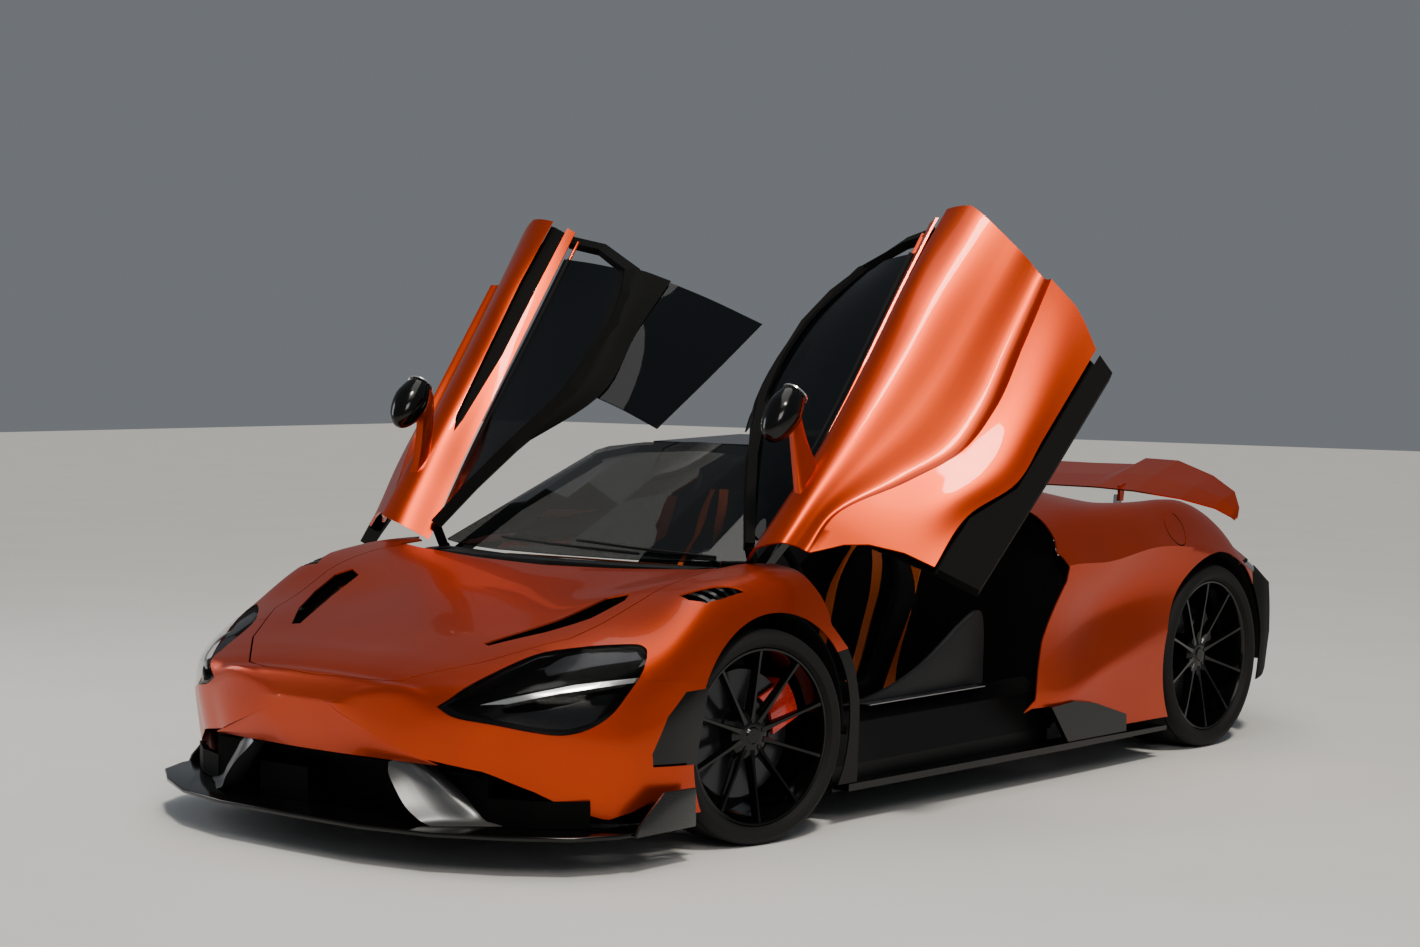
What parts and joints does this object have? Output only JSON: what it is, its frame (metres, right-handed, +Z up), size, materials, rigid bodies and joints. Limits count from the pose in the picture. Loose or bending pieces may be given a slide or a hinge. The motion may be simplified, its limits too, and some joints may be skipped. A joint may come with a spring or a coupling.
{
  "type": "mid-engined sports car with upswept doors",
  "caption": "Low two-seat mid-engined sports car with upswept doors standing open, a splitter and a rear wing.",
  "frame": {"origin": "on the ground below the middle of the overall length and width, as it stands parked", "axes": "+Z up, the nose points to -Y, the car's own left side is +X"},
  "size_m": [2.9246, 4.6, 1.9571],
  "materials": {
    "paint": "candy orange clear coat",
    "gloss_black": "gloss",
    "gloss_black_metal": "gloss black",
    "black_plastic": "satin",
    "carbon": "satin carbon",
    "glass": "tinted",
    "lamp": "clear over black",
    "tail_lamp": "gloss",
    "steel": "satin",
    "cast_metal": "cast",
    "trim": "suede",
    "tyre": "rubber"
  },
  "bodies": {
    "body": {"tub": "carbon", "roof_frame": "carbon", "windscreen": "glass", "scuttle": "black_plastic", "front_bumper": "paint", "splitter": "gloss_black", "intake_insert": "black_plastic", "headlamps": "lamp", "fenders": "paint", "luggage_well": "black_plastic", "engine": "cast_metal", "engine_cover": "gloss_black", "quarters": "paint", "rear_bumper": "gloss_black", "diffuser": "gloss_black", "exhaust": "steel", "tail_lamps": "tail_lamp", "side_skirts": "gloss_black", "seats": "trim", "dashboard": "trim", "steering_wheel": "trim", "rear_carriers": "steel", "suspension_arms": "steel", "wing_stays": "steel"},
    "bonnet": {"bonnet": "paint"},
    "wing": {"wing": "paint"},
    "door_left": {"door_skin_left": "paint", "door_frame_left": "carbon", "door_glass_left": "glass", "door_mirror_left": "paint"},
    "steer_left": {"carrier_front_left": "steel"},
    "door_right": {"door_skin_right": "paint", "door_frame_right": "carbon", "door_glass_right": "glass", "door_mirror_right": "paint"},
    "steer_right": {"carrier_front_right": "steel"},
    "wheel_front_left": {"tyre_front_left": "tyre", "rim_front_left": "gloss_black_metal"},
    "wheel_front_right": {"tyre_front_right": "tyre", "rim_front_right": "gloss_black_metal"},
    "wheel_rear_left": {"tyre_rear_left": "tyre", "rim_rear_left": "gloss_black_metal"},
    "wheel_rear_right": {"tyre_rear_right": "tyre", "rim_rear_right": "gloss_black_metal"}
  },
  "joints": [
    {"name": "door_left_close", "type": "hinge", "parent": "body", "child": "door_left", "pos_m": [0.1174, -0.3262, 1.1811], "axis": [-0.5954, 0.6927, 0.4069], "range_deg": [0, 68.34]},
    {"name": "door_right_close", "type": "hinge", "parent": "body", "child": "door_right", "pos_m": [-0.1174, -0.3262, 1.1811], "axis": [-0.5954, -0.6927, -0.4069], "range_deg": [0, 68.34]},
    {"name": "bonnet_open", "type": "hinge", "parent": "body", "child": "bonnet", "pos_m": [0, -1.137, 0.788], "axis": [-1, 0, 0], "range_deg": [0, 45]},
    {"name": "wing_tilt", "type": "hinge", "parent": "body", "child": "wing", "pos_m": [0, 1.8, 0.9], "axis": [1, 0, 0], "range_deg": [0, 30]},
    {"name": "steer_left", "type": "hinge", "parent": "body", "child": "steer_left", "pos_m": [0.753, -1.215, 0.325], "axis": [0, 0, 1], "range_deg": [-20.67, 39.33]},
    {"name": "steer_right", "type": "hinge", "parent": "body", "child": "steer_right", "pos_m": [-0.753, -1.215, 0.325], "axis": [0, 0, 1], "range_deg": [-20.67, 39.33]},
    {"name": "spin_front_left", "type": "hinge", "parent": "steer_left", "child": "wheel_front_left", "pos_m": [0.82701, -1.22716, 0.325], "axis": [0.9868, -0.1621, 0], "continuous": true},
    {"name": "spin_front_right", "type": "hinge", "parent": "steer_right", "child": "wheel_front_right", "pos_m": [-0.82701, -1.20284, 0.325], "axis": [0.9868, -0.1621, 0], "continuous": true},
    {"name": "spin_rear_left", "type": "hinge", "parent": "body", "child": "wheel_rear_left", "pos_m": [0.7945, 1.455, 0.345], "axis": [1, 0, 0], "continuous": true},
    {"name": "spin_rear_right", "type": "hinge", "parent": "body", "child": "wheel_rear_right", "pos_m": [-0.7945, 1.455, 0.345], "axis": [1, 0, 0], "continuous": true}
  ],
  "couplings": [
    {"joint": "steer_right", "follows": "steer_left", "ratio": 1}
  ]
}
